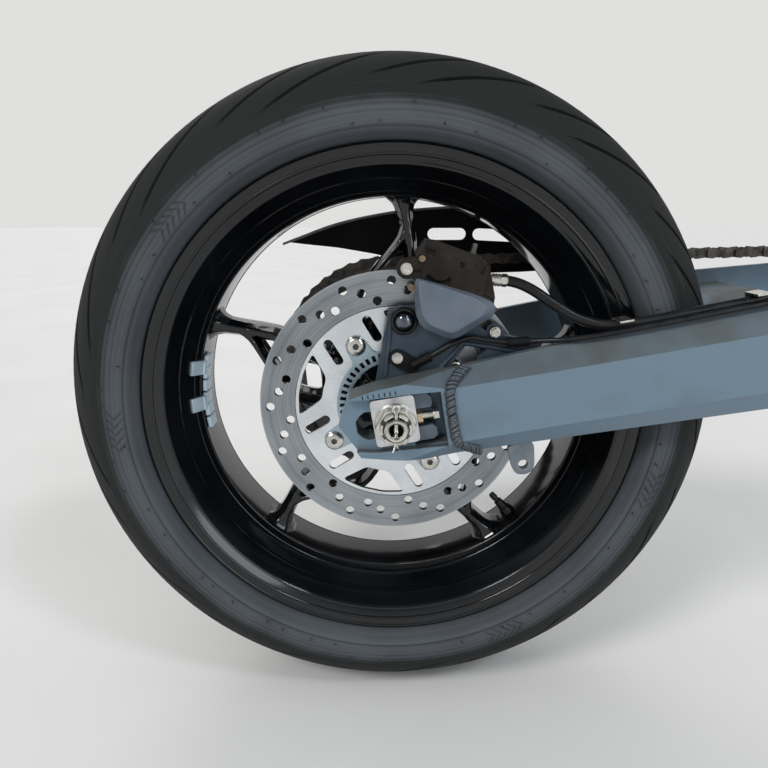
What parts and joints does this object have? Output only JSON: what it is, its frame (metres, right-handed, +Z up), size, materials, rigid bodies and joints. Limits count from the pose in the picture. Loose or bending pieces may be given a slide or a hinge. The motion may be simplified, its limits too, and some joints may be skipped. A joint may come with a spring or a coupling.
{
  "type": "motorcycle rear swingarm with wheel",
  "caption": "Rear swingarm unit of a standard motorcycle: cast wheel with radial tyre, drilled disc and caliper, chain drive and axle adjusters, ready to hang on a frame's pivot shaft",
  "frame": {"origin": "on the swingarm pivot's axis, in the wheel's mid-plane, where the frame's pivot shaft carries the unit", "axes": "+X is forwards along the vehicle, +Y is to the vehicle's left along the pivot's axis, +Z is up"},
  "size_m": [0.9251, 0.3111, 0.63],
  "materials": {
    "tyre_rubber": "matt moulded rubber",
    "black_gloss": "gloss black paint on cast aluminium",
    "stainless": "turned stainless steel",
    "zinc": "zinc plated steel",
    "steel": "oiled steel",
    "rubber": "smooth rubber",
    "plastic": "moulded black plastic",
    "aluminium": "plain aluminium",
    "arm_paint": "satin graphite paint",
    "cast_dark": "dark anodised casting"
  },
  "bodies": {
    "arm": {"beam_right": "arm_paint", "beam_left": "arm_paint", "lug_right": "arm_paint", "lug_left": "arm_paint", "cross_member": "arm_paint", "link_ears": "arm_paint", "pivot_sleeve": "steel", "stand_tabs": "aluminium", "weld_beads": "arm_paint", "bracket_stop": "zinc", "wheel_sensor": "plastic", "sensor_lead": "rubber", "brake_hose": "rubber", "hose_clips": "zinc", "adjuster_right": "aluminium", "adjuster_left": "aluminium", "adjuster_screws": "zinc", "axle": "zinc", "axle_nut": "zinc", "split_pin": "zinc", "wheel_spacers": "aluminium", "chain": "steel", "chain_slider": "plastic", "chain_guard": "plastic", "caliper_bracket": "cast_dark", "caliper": "cast_dark", "brake_pads": "steel", "caliper_bolts": "zinc"},
    "wheel": {"tyre": "tyre_rubber", "wheel_casting": "black_gloss", "brake_disc": "stainless", "sensor_ring": "stainless", "disc_bolts": "zinc", "sprocket": "steel", "sprocket_carrier": "black_gloss", "sprocket_nuts": "zinc", "balance_weights": "zinc", "valve_stem": "rubber"}
  },
  "joints": [
    {"name": "wheel_spin", "type": "hinge", "parent": "arm", "child": "wheel", "pos_m": [-0.56218, 0, -0.09408], "axis": [0, 1, 0], "continuous": true}
  ]
}
